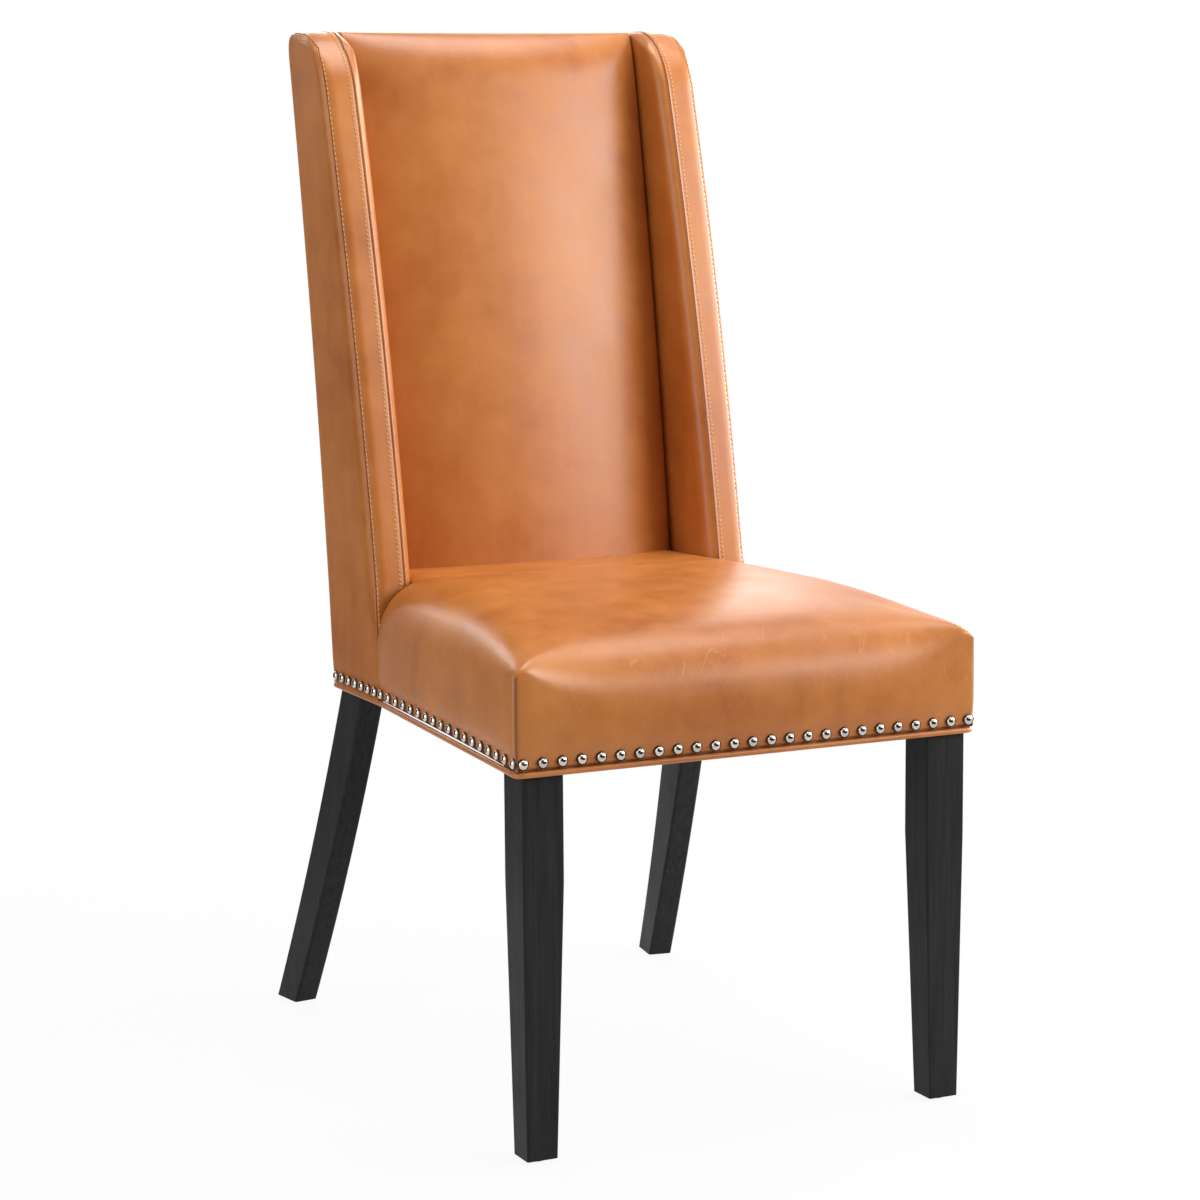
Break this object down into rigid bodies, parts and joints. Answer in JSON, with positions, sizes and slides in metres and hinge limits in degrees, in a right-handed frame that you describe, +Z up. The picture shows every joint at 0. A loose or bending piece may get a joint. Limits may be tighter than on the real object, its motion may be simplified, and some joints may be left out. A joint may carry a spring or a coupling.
{
  "type": "dining chair",
  "caption": "High-backed dining chair in caramel faux leather with narrow side wings, a crowned seat edged by a round welt and domed nails, tapered front legs and raked rear legs.",
  "frame": {"origin": "on the floor, under the middle of the chair's box", "axes": "+Z up, the chair faces -Y, +X to the sitter's left"},
  "size_m": [0.4854, 0.6634, 1.03],
  "materials": {
    "leather": "caramel faux leather, soft grain, semi-gloss",
    "black_lacquer": "black satin lacquer on hardwood",
    "frame_wood": "planed hardwood, bare",
    "plywood": "sanded plywood, bare",
    "foam": "cut foam",
    "webbing": "woven elastic strap",
    "dust_cover_cloth": "black spun cloth",
    "nickel": "polished nickel",
    "zinc_steel": "zinc plated",
    "glide_plastic": "moulded, matt"
  },
  "bodies": {
    "root": {"back_dust_cover": "dust_cover_cloth", "back_foam": "foam", "back_mounting_rail": "frame_wood", "back_nails": "nickel", "back_rail_dowels": "frame_wood", "back_to_seat_bolts": "zinc_steel", "back_to_seat_nuts": "zinc_steel", "back_to_seat_washers": "zinc_steel", "back_webbing": "webbing", "back_welt": "leather", "bottom_back_rail": "frame_wood", "corner_block_screws": "zinc_steel", "crosswise_seat_webbing": "webbing", "front_left_corner_block": "frame_wood", "front_left_leg": "black_lacquer", "front_right_corner_block": "frame_wood", "front_right_leg": "black_lacquer", "front_seat_rail": "frame_wood", "inside_back_cover": "leather", "left_seat_rail": "frame_wood", "left_wing_foam": "foam", "left_wing_front_band": "leather", "left_wing_inner_cover": "leather", "left_wing_outer_cover": "leather", "left_wing_panel": "plywood", "leg_glides": "glide_plastic", "leg_hanger_bolts": "zinc_steel", "leg_nuts": "zinc_steel", "leg_washers": "zinc_steel", "lengthwise_seat_webbing": "webbing", "middle_back_rail": "frame_wood", "mounting_rail_screws": "zinc_steel", "outside_back_cover": "leather", "rear_left_corner_block": "frame_wood", "rear_left_leg": "black_lacquer", "rear_right_corner_block": "frame_wood", "rear_right_leg": "black_lacquer", "rear_seat_rail": "frame_wood", "right_seat_rail": "frame_wood", "right_wing_foam": "foam", "right_wing_front_band": "leather", "right_wing_inner_cover": "leather", "right_wing_outer_cover": "leather", "right_wing_panel": "plywood", "seat_cover": "leather", "seat_dust_cover": "dust_cover_cloth", "seat_foam": "foam", "seat_nails": "nickel", "seat_rail_dowels": "frame_wood", "seat_welt": "leather", "top_back_rail": "frame_wood", "wing_dowels": "frame_wood"}
  },
  "joints": []
}
